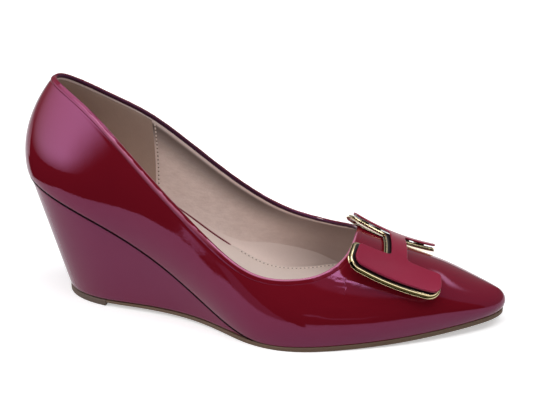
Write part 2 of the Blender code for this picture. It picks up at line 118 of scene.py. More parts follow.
last = {name: smoothLine(range(len(lastRows)), column, name != "width")
        for name, column in zip(lastColumns, np.transpose(lastRows))}
lastEnd = len(lastRows) - 1
along, lateral, medial = np.transpose(toplineRows)
topline = {-1: smoothLine(along, lateral, True), 1: smoothLine(along, medial, True)}
along, top, bottom = np.transpose(archRows)
archTop, archBottom = smoothLine(along, top, False), smoothLine(along, bottom, False)


def solve(function, target, low, high):  # bisection on a rising function
    for _ in range(48):
        middle = 0.5 * (low + high)
        under = function(middle) < target
        low, high = np.where(under, middle, low), np.where(under, high, middle)
    return 0.5 * (low + high)


def stationAt(share):
    share = np.asarray(share, float)
    return solve(last["along"], share, np.zeros_like(share), np.full_like(share, lastEnd))


def unit(vectors):
    return vectors / np.linalg.norm(vectors, axis=-1, keepdims=True)


def ease(value):  # 0 to 1, level at both ends
    value = np.clip(value, 0, 1)
    return value * value * (3 - 2 * value)


def runAlong(path):  # length gone at each point
    return np.append(0, np.cumsum(np.linalg.norm(np.diff(path, axis=0), axis=1)))


def seatHeight(x):
    return last["seat"](stationAt(x / shoe["length"])) * shoe["heelHeight"]


def lastRise(station, share):
    rest = 1 - share
    start = 3 * rest**2 * share * last["rise"](station)
    return (start + 3 * rest * share**2 + share**3) * last["crown"](station) * shoe["instep"]


def lastPoint(station, share, side):
    rest = 1 - share
    spread = rest**3 + 3 * rest**2 * share * (1 + last["flare"](station))
    spread = spread + 3 * rest * share**2 * last["shoulder"](station)
    half = last["width"](station) * shoe["ballWidth"] / 2
    rise = lastRise(station, share)
    toCrest = share * (2 - share)
    middle = last["swing"](station) * (1 - toCrest) + last["crest"](station) * toCrest
    x = last["along"](station) * shoe["length"] + last["lean"](station) * rise
    x = x + last["bend"](station) * rise**2
    z = last["seat"](station) * shoe["heelHeight"] + rise
    return np.stack(np.broadcast_arrays(x, middle + side * half * spread, z), axis=-1)


def lastNormal(station, share, side):
    step = 1e-3
    station = np.clip(station, step, lastEnd - step)
    share = np.clip(share, step, 1 - step)
    forward = lastPoint(station + step, share, side) - lastPoint(station - step, share, side)
    upward = lastPoint(station, share + step, side) - lastPoint(station, share - step, side)
    return unit(side * np.cross(upward, forward))


def feather(station, inset, side):  # plan of the feather line, moved in along its normal
    step = 1e-3
    inside = np.clip(station, step, lastEnd - step)
    run = (last["along"](inside + step) - last["along"](inside - step)) * shoe["length"]
    spread = (last["width"](inside + step) - last["width"](inside - step)) * shoe["ballWidth"] / 2
    size = np.hypot(run, spread)
    x = last["along"](station) * shoe["length"] + inset * spread / size
    half = last["width"](station) * shoe["ballWidth"] / 2 - inset * run / size
    atEnd = (station <= 0) | (station >= lastEnd)
    return x, last["swing"](station) + side * np.where(atEnd, 0, np.maximum(half, 0))


print("last drawn:", len(lastRows), "sections")


# meshes

def gridFaces(down, across, first=0):  # four-sided faces between rows of points
    corner = first + np.arange(down * across).reshape(down, across)
    quads = np.stack([corner[:-1, :-1], corner[:-1, 1:], corner[1:, 1:], corner[1:, :-1]], axis=-1)
    return quads.reshape(-1, 4)


def meshOf(name, points, faces, marks):  # marks are numbers at the points, for the finishes
    mesh = bpy.data.meshes.new(name)
    mesh.from_pydata(points.tolist(), [], faces.tolist())
    for mark, values in marks.items():
        flat = np.ravel(values).astype(np.float32)
        mesh.attributes.new(mark, "FLOAT", "POINT").data.foreach_set("value", flat)
    return mesh


def putIn(name, data):
    made = bpy.data.objects.new(name, data)
    bpy.context.collection.objects.link(made)
    return made


class Skin:  # grids of points that become one closed mesh
    def __init__(self):
        self.points, self.faces, self.marks, self.count = [], [], {}, 0

    def grid(self, rows, **marks):
        rows = np.asarray(rows, float)
        down, across = rows.shape[:2]
        self.points.append(rows.reshape(-1, 3))
        self.faces.append(gridFaces(down, across, self.count))
        for name, value in marks.items():
            flat = np.broadcast_to(value, (down, across)).reshape(-1)
            self.marks.setdefault(name, []).append((self.count, flat))
        self.count += down * across

    def block(self, sheets, **marks):  # a stack of sheets, closed all round
        sheets = np.asarray(sheets, float)
        marks = {name: np.broadcast_to(value, sheets.shape[:3]) for name, value in marks.items()}
        for part in (0, -1, np.s_[:, 0], np.s_[:, -1], np.s_[:, :, 0], np.s_[:, :, -1]):
            self.grid(sheets[part], **{name: value[part] for name, value in marks.items()})

    def piece(self, name, finish, slot, nodes=(), weld=0.01, crisp=40):
        points = (np.concatenate(self.points) + shoe["shift"]) * mm
        marks = {mark: np.zeros(self.count) for mark in self.marks}
        for mark, parts in self.marks.items():
            for start, flat in parts:
                marks[mark][start:start + len(flat)] = flat
        mesh = meshOf(name, points, np.concatenate(self.faces), marks)
        shape = bmesh.new()
        shape.from_mesh(mesh)
        if weld:
            bmesh.ops.remove_doubles(shape, verts=shape.verts, dist=weld * mm)
            bmesh.ops.dissolve_degenerate(shape, edges=shape.edges, dist=0.1 * weld * mm)
        bmesh.ops.recalc_face_normals(shape, faces=shape.faces)
        openEdges = sum(len(edge.link_faces) != 2 for edge in shape.edges)
        shape.to_mesh(mesh)
        shape.free()
        mesh.shade_smooth()
        mesh.set_sharp_from_angle(angle=math.radians(crisp))
        mesh.materials.append(finish.material)
        made = putIn(name, mesh)
        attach(made, "root")
        if nodes:
            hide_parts(*nodes)
        print("made", name, len(mesh.polygons), "faces,", openEdges, "open edges")
        return made


# finishes

class Wire:  # an output socket that takes part in sums
    def __init__(self, finish, socket):
        self.finish, self.socket = finish, socket

    def sum(self, how, first, second):
        return self.finish.node("Math", dict(operation=how), {0: first, 1: second})

    def __add__(self, other):
        return self.sum("ADD", self, other)

    def __radd__(self, other):
        return self.sum("ADD", other, self)

    def __sub__(self, other):
        return self.sum("SUBTRACT", self, other)

    def __rsub__(self, other):
        return self.sum("SUBTRACT", other, self)

    def __mul__(self, other):
        return self.sum("MULTIPLY", self, other)

    def __rmul__(self, other):
        return self.sum("MULTIPLY", other, self)


class Finish:  # one material and its nodes
    def __init__(self, name):
        self.material = bpy.data.materials.new(name)
        self.material.use_nodes = True
        self.tree = self.material.node_tree
        self.shader = self.tree.nodes["Principled BSDF"]

    def feed(self, socket, value):
        if isinstance(value, Wire):
            self.tree.links.new(value.socket, socket)
        elif isinstance(value, tuple) and socket.type == "RGBA":
            socket.default_value = (*value, 1)
        else:
            socket.default_value = value

    def node(self, kind, settings=None, sockets=None, out=0):
        made = self.tree.nodes.new("ShaderNode" + kind)
        for name, value in (settings or {}).items():
            setattr(made, name, value)
        for name, value in (sockets or {}).items():
            self.feed(made.inputs[name], value)
        return Wire(self, made.outputs[out])

    def mix(self, share, first, second):  # of two colours
        return self.node("Mix", dict(data_type="RGBA"), {0: share, 6: first, 7: second}, out=2)

    def stretch(self, vector, scale):
        return self.node("VectorMath", dict(operation="MULTIPLY"), {0: vector, 1: scale})

    def noise(self, vector, scale, detail=2.0, rough=0.5):
        sockets = dict(Vector=vector, Scale=scale, Detail=detail, Roughness=rough)
        return self.node("TexNoise", None, sockets)

    def ramp(self, value, low, high):  # 0 below low, 1 above high
        return self.node("MapRange", dict(interpolation_type="SMOOTHSTEP"),
                         {0: value, 1: low, 2: high, 3: 0.0, 4: 1.0})

    def place(self):  # metres in the shoe's frame
        return self.node("TexCoord", out="Object")

    def mark(self, name):  # a number kept at the mesh's points
        return self.node("Attribute", dict(attribute_name=name), out="Fac")

    def bump(self, height, depth, under=None):
        sockets = dict(Height=height, Strength=1.0, Distance=depth)
        if under:
            sockets["Normal"] = under
        return self.node("Bump", None, sockets)

    def set(self, values):
        for name, value in values.items():
            self.feed(self.shader.inputs[name], value)
        return self


patent = dict(
    deep=(0.170, 0.0058, 0.0140),  # crimson under the gloss
    warm=(0.200, 0.0072, 0.0160),
    gloss=0.040, lacquer=1.56,  # roughness and refraction of the clear coat
    sheen=(1.0, 0.42, 0.92),  # the lacquer's cast on what it mirrors
    peel=900.0, peelDepth=0.000007,  # orange peel, about a millimetre across
    wave=95.0, waveDepth=0.00004,  # slack of the leather under the lacquer
    cloud=38.0, cloudDull=0.02,  # patches in the dye
    dust=2600.0, dustDull=0.05, speck=(0.62, 0.80),  # specks in the lacquer
    crest=(0.62, 0.215, 0.335), paintedHighlightShare=0.9, crestDull=0.22,  # painted highlight along the turned edge, on the near side
    ink=(0.018, 0.0003, 0.0012), inkDull=0.4,  # painted shade on the fold, on its far side and at the near throat
)


def patentFinish(name, look):
    made = Finish(name)
    place = made.place()
    cloud = made.noise(place, look["cloud"], 3.0)
    peel = made.noise(place, look["peel"], 1.0)
    wave = made.noise(place, look["wave"], 1.0, 0.4)
    dust = made.ramp(made.noise(place, look["dust"], 1.0), *look["speck"])
    crest, ink = made.mark("crest"), made.mark("ink")
    slack = made.bump(wave, look["waveDepth"])
    # painted shade on the fold, darkening its colour
    shadedBase = made.mix(ink, made.mix(cloud, look["deep"], look["warm"]), look["ink"])
    dull = dust * look["dustDull"] + cloud * look["cloudDull"]
    return made.set({
        # painted highlight on the near side of the fold
        "Base Color": made.mix(crest * look["paintedHighlightShare"], shadedBase, look["crest"]),
        "Roughness": look["gloss"] + dull + crest * look["crestDull"] + ink * look["inkDull"],
        "Normal": made.bump(peel, look["peelDepth"], slack),
        "IOR": look["lacquer"],
        "Specular Tint": look["sheen"],
    })


lining = dict(
    pale=(0.95, 0.790, 0.725),
    dusk=(0.84, 0.680, 0.620),
    toplineShade=(0.150, 0.108, 0.095),  # painted shade under the topline, less of it under the vamp
    toplineShadeShare=0.95, toplineShadeLess=0.6,
    shade=(0.31, 0.225, 0.198), shadeShare=0.88,  # under the vamp
    under=(-0.014, 0.030),  # where the vamp covers it, metres along the shoe
    edge=(0.98, 0.84, 0.79),  # cut edge under the fold
    edgeEnds=(2.1, 3.8), toplineShadeStarts=(2.4, 4.6), toplineShadeEnds=(3.0, 18.0),  # millimetres from the topline
    cloud=60.0, grain=380.0, grainDepth=0.00045,
    rough=0.62, dull=0.2, shine=0.28,
)


def leatherSet(made, skin, pebble, look):
    return made.set({
        "Base Color": skin,
        "Roughness": look["rough"] + pebble * look["dull"],
        "Normal": made.bump(pebble, look["grainDepth"]),
        "Specular IOR Level": look["shine"],
    })


def liningFinish(name, look):
    made = Finish(name)
    place = made.place()
    cloud = made.noise(place, look["cloud"], 4.0, 0.6)
    pebble = made.noise(made.stretch(place, (0.6, 1.0, 1.2)), look["grain"], 3.0, 0.65)
    collar = made.mark("collar")
    under = made.ramp(made.node("SeparateXYZ", None, {0: place}), *look["under"])
    # painted shade a few millimetres under the topline, less under the vamp
    toplineShade = made.ramp(collar, *look["toplineShadeStarts"]) * (1 - made.ramp(collar, *look["toplineShadeEnds"]))
    toplineShade = toplineShade * (look["toplineShadeShare"] - under * look["toplineShadeLess"])
    skin = made.mix(cloud * 0.5 + pebble * 2.2 - 0.85, look["dusk"], look["pale"])
    skin = made.mix(under * look["shadeShare"], skin, look["shade"])
    skin = made.mix(toplineShade, skin, look["toplineShade"])
    skin = made.mix(1 - made.ramp(collar, *look["edgeEnds"]), skin, look["edge"])
    return leatherSet(made, skin, pebble, look)


sockLeather = dict(
    lining, shadeShare=0.75,
    pale=(0.80, 0.680, 0.620),
    dusk=(0.70, 0.580, 0.525),
    hidden=(0.20, 0.010, 0.034),  # lasted margin, seen in the slit beside the sock
    grain=620.0, grainDepth=0.00012,
    edges=(0.35, 0.65),  # of the turned lining and the slit
)


def sockFinish(name, look, turned):  # the lining is turned in over the edge of the sock
    made = Finish(name)
    place = made.place()
    cloud = made.noise(place, look["cloud"], 4.0, 0.6)
    pebble = made.noise(place, look["grain"], 3.0, 0.65)
    blend = cloud * 0.6 + pebble * 0.4
    under = made.ramp(made.node("SeparateXYZ", None, {0: place}), *look["under"])
    margin = made.mix(blend, turned["dusk"], turned["pale"])
    margin = made.mix(under * look["shadeShare"], margin, look["shade"])
    skin = made.mix(made.ramp(made.mark("margin"), *look["edges"]),
                    made.mix(blend, look["dusk"], look["pale"]), margin)
    skin = made.mix(made.ramp(made.mark("slit"), *look["edges"]), skin, look["hidden"])
    return leatherSet(made, skin, pebble, look)


# hole: painted shade in the needle holes
thread = dict(light=(0.95, 0.83, 0.76), dark=(0.76, 0.62, 0.55), hole=(0.26, 0.175, 0.145), twist=3200.0)


def threadFinish(name, look):
    made = Finish(name)
    twist = made.noise(made.place(), look["twist"], 1.0)
    yarn = made.mix(twist, look["dark"], look["light"])
    return made.set({
        # painted shade at the needle holes
        "Base Color": made.mix(made.mark("hole"), yarn, look["hole"]),
        "Roughness": 0.55 + twist * 0.2,
        "Normal": made.bump(twist, 0.00004),
    })


# broad and fine grain: stretch, scale, detail, roughness; what the broad one takes of tone and relief
suede = dict(
    pale=(0.55, 0.400, 0.325), dusk=(0.40, 0.280, 0.225), rough=0.88, dull=0.1, depth=0.00016,
    broad=((1, 1, 1), 75.0, 4.0, 0.6), fine=((1, 1, 0.5), 2600.0, 3.0, 0.7), tone=0.65, relief=0.0,
    fixed={"Specular IOR Level": 0.15, "Sheen Weight": 0.25})
leatherSole = dict(
    pale=(0.200, 0.122, 0.074), dusk=(0.128, 0.076, 0.046), rough=0.52, dull=0.2, depth=0.00010,
    broad=((1, 1, 9), 240.0, 3.0, 0.6), fine=((1, 1, 1), 850.0, 3.0, 0.6), tone=0.6, relief=0.4,
    fixed={"Specular IOR Level": 0.35})
rubberLift = dict(
    leatherSole, pale=(0.165, 0.112, 0.084), dusk=(0.112, 0.075, 0.056), rough=0.60, depth=0.00006,
    fine=((1, 1, 1), 1300.0, 3.0, 0.6))
satin = dict(
    pale=(0.305, 0.0100, 0.0385), dusk=(0.262, 0.0080, 0.0330), rough=0.30, dull=0.12, depth=0.000012,
    broad=((1, 1, 1), 70.0, 3.0, 0.5), fine=((0.35, 1, 1), 1500.0, 2.0, 0.6), tone=1.0, relief=0.0,
    fixed={"Specular Tint": (1.0, 0.45, 0.75), "Specular IOR Level": 0.3,
           "Coat Weight": 0.10, "Coat Roughness": 0.25})


def grainFinish(name, look):
    made = Finish(name)
    broad, fine = (made.noise(made.stretch(made.place(), stretch), *grain)
                   for stretch, *grain in (look["broad"], look["fine"]))
    tone, relief = (broad * look[share] + fine * (1 - look[share]) for share in ("tone", "relief"))
    return made.set({
        "Base Color": made.mix(tone, look["dusk"], look["pale"]),
        "Roughness": look["rough"] + fine * look["dull"],
        "Normal": made.bump(relief, look["depth"]),
        **look["fixed"],
    })


gold = dict(pale=(0.93, 0.80, 0.50), dusk=(0.86, 0.70, 0.39), cloud=160.0,
            polish=0.07, rub=2200.0, rubDull=0.06, rubDepth=0.000004,
            flute=(0.060, 0.046, 0.014),  # painted shade in the groove round the edge
            inlay=(0.012, 0.004, 0.006))  # dark on the frame's top face, under the plate


def goldFinish(name, look):
    made = Finish(name)
    place = made.place()
    cloud = made.noise(place, look["cloud"], 2.0)
    rub = made.noise(made.stretch(place, (1.0, 1.0, 6.0)), look["rub"], 2.0)
    # dark and not metal on the frame's top face under the plate
    dark = made.ramp(made.mark("inlay"), 0.10, 0.35)
    # painted shade in the groove of the frame's lower edge
    metal = made.mix(made.mark("flute"), made.mix(cloud, look["dusk"], look["pale"]), look["flute"])
    return made.set({
        "Base Color": made.mix(dark, metal, look["inlay"]),
        "Metallic": 1 - dark,
        "Roughness": look["polish"] + rub * look["rubDull"] + dark * 0.3,
        "Normal": made.bump(rub, look["rubDepth"]),
    })


patentSkin = patentFinish("patentLeather", patent)
coverSkin = patentFinish("wedgeCover", dict(
    patent, sheen=(0.96, 0.46, 1.0), wave=60.0, waveDepth=0.00005))
liningSkin = liningFinish("liningLeather", lining)
sockSkin = sockFinish("sockLeather", sockLeather, lining)
gripSkin = grainFinish("heelGripSuede", suede)
threadSkin = threadFinish("stitchThread", thread)
soleSkin = grainFinish("soleLeather", leatherSole)
liftSkin = grainFinish("liftRubber", rubberLift)
goldSkin = goldFinish("polishedGold", gold)
satinSkin = grainFinish("satinEnamel", satin)
print("finishes mixed")


# upper: patent skin, lining, fold along the topline

upper = dict(
    quarterColumns=104, throatColumns=36, vampColumns=96, rows=60,
    skin=1.0,  # patent leather alone
    edgeRound=0.92, foreRound=0.25,  # lasted edge over the wedge and over the outsole
    roundFrom=112.0, roundTo=132.0,
    tuck=0.45, tuckWidth=1.0,  # the skin draws in under the fold
    groove=0.14, grooveAt=3.1, grooveWidth=0.55,
)
# soft troughs and ridges of the vamp: depth (down is positive), width and line
creases = [
    (0.15, 0.75, [(158.0, -27.2, 31.9), (163.0, -27.5, 29.3), (166.4, -26.7, 28.6), (171.5, -24.5, 28.6)]),
    (0.14, 0.70, [(160.0, -25.4, 33.0), (163.6, -25.6, 31.0), (170.0, -23.8, 29.6)]),
    (0.13, 0.70, [(164.0, -22.8, 33.2), (167.0, -22.9, 31.8), (171.0, -22.6, 30.2)]),
    (0.14, 0.80, [(172.0, -24.2, 28.2), (178.7, -22.7, 26.6), (187.0, -20.9, 24.6)]),
    (0.12, 0.70, [(173.0, -22.3, 29.5), (180.0, -20.9, 27.7), (185.0, -19.9, 26.4)]),
    (-0.14, 0.90, [(165.5, -29.6, 26.0), (168.5, -28.9, 24.8)]),
    (0.20, 2.4, [(153.0, -34.2, 24.4), (164.2, -31.5, 22.0), (176.0, -28.0, 20.5)]),
    (0.16, 2.2, [(156.0, -36.2, 18.9), (166.9, -33.1, 17.5), (182.0, -27.6, 17.0)]),
    (0.22, 2.6, [(141.0, -34.6, 28.4), (146.7, -36.4, 23.0), (152.0, -37.2, 19.0)]),
    (0.15, 1.6, [(169.0, 25.5, 28.0), (180.0, 22.5, 25.0)]),
    (0.16, 2.4, [(156.0, 34.5, 20.0), (172.0, 30.0, 18.0)]),
]
creaseShoulder = 0.45, 1.9  # the leather stands up a little beside each: share, spread
rowCrowding, columnCrowding = 0.55, 0.45  # rows crowd to both ends of the wall, columns to the throat


def upperColumns(side, look):
    first, throat = stationAt(shoe["throatStart"]), stationAt(shoe["throat"])
    turn = np.linspace(0, math.pi / 2, look["throatColumns"] + 1)
    power = 2 / shoe["throatSquareness"]
    quarter = np.linspace(0, first, look["quarterColumns"] + 1)[:-1]
    rounding = first + (throat - first) * np.sin(turn)**power
    ahead = np.linspace(0, 1, look["vampColumns"] + 1)[1:]
    vamp = throat + (lastEnd - throat) * ((1 - columnCrowding) * ahead + columnCrowding * ahead**2)
    opening = np.concatenate([quarter, rounding])
    low = np.zeros_like(opening)
    rise = topline[side](last["along"](opening))
    top = solve(lambda share: lastRise(opening, share), rise, low, low + 1)
    closing = np.concatenate([np.zeros_like(quarter), 1 - np.abs(np.cos(turn))**power])
    tops = np.concatenate([top + (1 - top) * closing, np.ones_like(vamp)])
    return np.concatenate([opening, vamp]), tops, len(opening)


def wallGrid(side, look):  # stations and shares, rows spaced by distance up the wall
    stations, tops, openCount = upperColumns(side, look)
    turn = np.linspace(0, math.pi, look["rows"] + 1)
    spread = rowCrowding * (1 - np.cos(turn)) / 2 + (1 - rowCrowding) * turn / math.pi
    fine = tops[:, None] * np.linspace(0, 1, 161)[None, :]
    run = np.array([runAlong(column) for column in lastPoint(stations[:, None], fine, side)])
    share = np.array([np.interp(spread * far[-1], far, near) for far, near in zip(run, fine)])
    station = np.broadcast_to(stations[:, None], share.shape)
    normal = lastNormal(station, share, side)
    for seam in (np.s_[0, :, 1], np.s_[-1, :, 1], np.s_[openCount - 1:, -1, 1]):
        normal[seam] = 0  # both sides share these points
    return lastPoint(station, share, side), unit(normal), spread[None, :] * run[:, -1:], openCount


def collarLoop(spacing):  # round the topline: points, normals, ways down the wall
    fine = dict(quarterColumns=240, throatColumns=120, vampColumns=1)
    points, normals = [], []
    for side in (-1, 1):
        stations, tops, openCount = upperColumns(side, fine)
        edge = lastPoint(stations[:openCount], tops[:openCount], side)
        normal = lastNormal(stations[:openCount], tops[:openCount], side)
        normal[[0, -1], 1] = 0
        order = slice(None, -1) if side < 0 else slice(None, 0, -1)
        points.append(edge[order])
        normals.append(unit(normal)[order])
    points, normals = np.concatenate(points), np.concatenate(normals)
    run = runAlong(np.concatenate([points, points[:1]]))
    places = np.linspace(0, run[-1], int(run[-1] / spacing) + 1)[:-1]
    edge, out = (np.stack([np.interp(places, run, np.append(way, way[0])) for way in line.T], axis=-1)
                 for line in (points, normals))
    forward = unit(np.roll(edge, -1, axis=0) - np.roll(edge, 1, axis=0))
    down = unit(np.cross(forward, out))
    return edge, unit(np.cross(down, forward)), down, places


collarEdge, collarOut, collarDown, collarRun = collarLoop(0.7)


def collarDistance(points):  # millimetres from the topline
    flat = points.reshape(-1, 3)
    far = np.concatenate([
        np.sqrt(((part[:, None, :] - collarEdge[None, :, :])**2).sum(axis=2).min(axis=1))
        for part in np.array_split(flat, max(1, len(flat) // 4000))])
    return far.reshape(points.shape[:-1])


def lineDistance(points, line):  # from a path of straight runs, and the share along it
    line = np.asarray(line, float)
    before = runAlong(line)
    nearest = np.full(points.shape[:-1], 1e9)
    share = np.zeros(points.shape[:-1])
    for start, end, length, gone in zip(line, line[1:], np.diff(before), before):
        along = np.clip(((points - start) @ (end - start)) / length**2, 0, 1)
        far = np.linalg.norm(points - start - along[..., None] * (end - start), axis=-1)
        closer = far < nearest
        nearest = np.where(closer, far, nearest)
        share = np.where(closer, (gone + along * length) / before[-1], share)
    return nearest, share


def creaseDepth(points):
    sunk = np.zeros(points.shape[:-1])
    raised, spread = creaseShoulder
    for depth, width, line in creases:
        far, share = lineDistance(points, line)
        trough = np.exp(-(far / width)**2) - raised * np.exp(-(far / width / spread)**2)
        sunk += depth * trough * ease(share * 4) * ease((1 - share) * 4)
    return sunk


def closeWall(skin, wall, faces, openCount, **marks):  # both faces, the lasted edge and the topline
    for face in faces:
        face[:, 0, 2] = wall[:, 0, 2]
        skin.grid(face, **marks)
    for rim in (np.s_[:, 0], np.s_[:openCount, -1]):
        skin.grid([face[rim] for face in faces], **{name: value[rim] for name, value in marks.items()})


def makeUpper(look):
    skin = Skin()
    for side in (-1, 1):
        wall, normal, rise, openCount = wallGrid(side, look)
        collar = collarDistance(wall)
        sunk = look["tuck"] * (1 - ease(collar / look["tuckWidth"]))
        ahead = ease((wall[..., 0] - look["roundFrom"]) / (look["roundTo"] - look["roundFrom"]))
        groove = np.exp(-((collar - look["grooveAt"]) / look["grooveWidth"])**2) * (1 - ahead)
        sunk = sunk + look["groove"] * groove
        turn = look["edgeRound"] + (look["foreRound"] - look["edgeRound"]) * ahead
        sunk = sunk + turn - np.sqrt(turn**2 - np.clip(turn - rise, 0, turn)**2)
        outer = wall - (sunk + creaseDepth(wall))[..., None] * normal
        closeWall(skin, wall, [outer, wall - look["skin"] * normal], openCount)
    return skin.piece("upperPatent", patentSkin, "patent_leather", ("upper",), weld=0.05)


liner = dict(quarterColumns=72, throatColumns=26, vampColumns=48, rows=40,
             start=1.03, tuck=0.6, tuckFrom=0.8, tuckWidth=0.95)


def makeLining(look):
    skin = Skin()
    for side in (-1, 1):
        wall, normal, _, openCount = wallGrid(side, look)
        collar = collarDistance(wall)
        tuck = look["tuck"] * (1 - ease((collar - look["tuckFrom"]) / look["tuckWidth"]))
        inner = wall - (shoe["wall"] - tuck)[..., None] * normal
        closeWall(skin, wall, [wall - look["start"] * normal, inner], openCount, collar=collar)
    return skin.piece("upperLining", liningSkin, "sock_lining", weld=0.05)


fold = dict(
    # section of the turned edge: out from the wall, down from the topline
    section=[(-0.25, 2.80), (0.02, 2.75), (0.17, 2.55), (0.26, 2.20), (0.26, 1.80), (0.18, 1.40),
             (0.04, 1.02), (-0.16, 0.67), (-0.40, 0.38), (-0.68, 0.14), (-1.00, -0.02), (-1.36, -0.05),
             (-1.68, 0.10), (-1.92, 0.40), (-2.03, 0.80), (-2.04, 1.20), (-1.98, 1.48),
             (-1.80, 1.60), (-1.50, 1.62)],
    # the same, drawn tighter towards the throat on the near side
    tight=[(-0.25, 2.80), (-0.02, 2.75), (0.02, 2.55), (0.05, 2.20), (0.09, 1.80), (0.12, 1.40),
           (0.14, 1.02), (0.14, 0.67), (0.06, 0.36), (-0.16, 0.12), (-0.60, -0.02), (-1.20, -0.05),
           (-1.62, 0.10)],
    tightAt=([95, 125], [0, 1]),
    # painted highlight: places in the section, and where along the near side
    broad=([2, 6, 9, 12], [0, 1, 1, 0]), broadAt=([36, 58, 88, 112], [0, 1, 1, 0]),
    thin=([6, 8, 9, 10.5], [0, 1, 1, 0]), thinAt=([20, 60, 110, 150], [0, 0.9, 1.2, 1.6]),
    inked=([6, 9], [0, 1]), inkedNear=([9, 10], [0, 1]),  # places of painted shade, far side and near
    ripples=[(3.9, 0.014, 0.4), (6.7, 0.026, 1.7), (11.3, 0.045, 0.9), (2.3, 0.005, 2.2)],
    rippleAt=1.0, rippleOver=1.6,  # down from the topline
)


def makeFold(look):
    near = ease(0.5 - 1.5 * collarOut[:, 1])
    drawn = (near * np.interp(collarEdge[:, 0], *look["tightAt"]))[:, None]
    section = np.array(look["section"])
    change = np.array(look["tight"] + look["section"][len(look["tight"]):]) - section
    ripple = sum(size * np.sin(2 * math.pi * collarRun / length + start)
                 for length, size, start in look["ripples"])
    fade = np.clip(1 - np.abs(section[:, 1] - look["rippleAt"]) / look["rippleOver"], 0, 1)
    out = section[:, 0] + change[:, 0] * drawn + ripple[:, None] * fade
    down = section[:, 1] + change[:, 1] * drawn
    rows = collarEdge[:, None] + out[..., None] * collarOut[:, None]
    rows = rows + down[..., None] * collarDown[:, None]
    rows = np.concatenate([rows, rows[:, :1]], axis=1)
    places = np.arange(len(section) + 1)
    alongCollar = collarEdge[:, 0]
    # painted highlight along the near side of the fold
    broad, thin = (np.interp(alongCollar, *look[name + "At"])[:, None] * np.interp(places, *look[name])
                   for name in ("broad", "thin"))
    crest = np.minimum(np.maximum(broad, thin) * near[:, None], 1)
    # painted shade on the far side of the fold and at the near throat
    ink, inkNear = (np.interp(places, *look[name]) for name in ("inked", "inkedNear"))
    ink = np.maximum((1 - near)[:, None] * ink, drawn * inkNear)
    skin = Skin()
    rows, crest, ink = (np.concatenate([line, line[:1]]) for line in (rows, crest, ink))
    skin.grid(rows, crest=crest, ink=ink)
    return skin.piece("toplineFold", patentSkin, "patent_leather", crisp=75)


makeUpper(upper)
makeLining(liner)
makeFold(fold)

# inside: heel grip, sock, stitches

grip = dict(
    reach=64.0, thickness=0.55, columns=44, rows=40,
    below=2.3,  # the topline
    within=6,  # stations, more than it reaches
)


def gripWall(side, look, depth):  # inner wall behind an upright seam, from sock to fold
    def topShare(station):
        rise = topline[side](last["along"](station)) - look["below"]
        return solve(lambda share: lastRise(station, share), rise, 0 * station, 0 * station + 1)

    up = np.linspace(0, 1, look["rows"] + 1)
    front = solve(lambda station: lastPoint(station, up * topShare(station), side)[..., 0],
                  look["reach"], 0 * up, 0 * up + look["within"])
    station = np.linspace(0, 1, look["columns"] + 1)[:, None] * front[None, :]
    share = up[None, :] * topShare(station)
    normal = lastNormal(station, share, side)
    normal[0, :, 1] = 0
    return lastPoint(station, share, side) - depth * unit(normal)


def makeGrip(look):
    skin = Skin()
    for side in (-1, 1):
        back = gripWall(side, look, shoe["wall"] + 0.01)
        face = gripWall(side, look, shoe["wall"] + look["thickness"])
        edge = 0.5 * (back + face)
        face[-1], face[:, -1] = edge[-1], edge[:, -1]  # feathered at the seam and the top
        for wall in (back, face):
            skin.grid(wall)
        for rim in (np.s_[:, 0], np.s_[:, -1], np.s_[-1]):
            skin.grid([back[rim], face[rim]])
    return skin.piece("heelGrip", gripSkin, "sock_lining", crisp=60)


sock = dict(
    thickness=3.5, columns=150, middle=12, crowding=0.3,  # columns crowd to heel and toe
    edge=0.7, edgeDrop=0.55,  # rounding of the edge
    turnFrom=0.2, turnEdge=0.5,
    # how far the lining is turned in over the sock: along, from the wall
    turnRows=[(40.0, 0.0), (62.0, 0.0), (71.0, 0.5), (86.0, 1.1), (102.0, 3.4), (109.0, 5.8),
              (118.0, 10.0), (127.0, 11.4), (137.0, 9.7), (146.0, 6.0), (153.0, 1.6), (160.0, 0.0)],
    meets=0.85, foot=0.3,  # share of its thickness where the wall meets it, and its underside
    lip=0.45, sweep=0.58, bed=0.5,  # thickness turned in, its rise to the wall, into the wall
    pad=1.8, padFrom=66.0, padTo=98.0,  # padded under the heel
    margin=[0.0, 0.2, 0.4, 0.6, 0.8],  # columns outside and about the turned edge
    about=[-0.55, -0.30, -0.12, 0.12, 0.30, 0.55, 0.95, 1.40],
    slitFrom=60.0, slitTo=105.0, slitOpens=8.0, slitCloses=6.0, slitWidth=0.75, slitDepth=1.6,
    sewn=0.9, sewnDepth=0.2, sewnWidth=0.6,
)
turnedIn = smoothLine(*zip(*sock["turnRows"]), True)


def sockTurn(x):
    inside = (x > sock["turnRows"][0][0]) & (x < sock["turnRows"][-1][0])
    return np.where(inside, np.maximum(turnedIn(x), 0), 0)


def sockPlan(station, side, look, under=False):  # where the lining meets the sock, or its underside
    turn = sockTurn(last["along"](station) * shoe["length"])
    rise = look["foot"] + 0 * turn if under else look["thickness"] * look["meets"] + look["sweep"] * turn
    share = solve(lambda s: lastRise(station, s), rise, 0 * rise, 0 * rise + 0.6)
    normal = lastNormal(station, share, side)
    ends = (station <= 0) | (station >= lastEnd)
    normal[ends, 1] = 0
    return (lastPoint(station, share, side) - (shoe["wall"] + 0.02) * unit(normal))[:, :2]


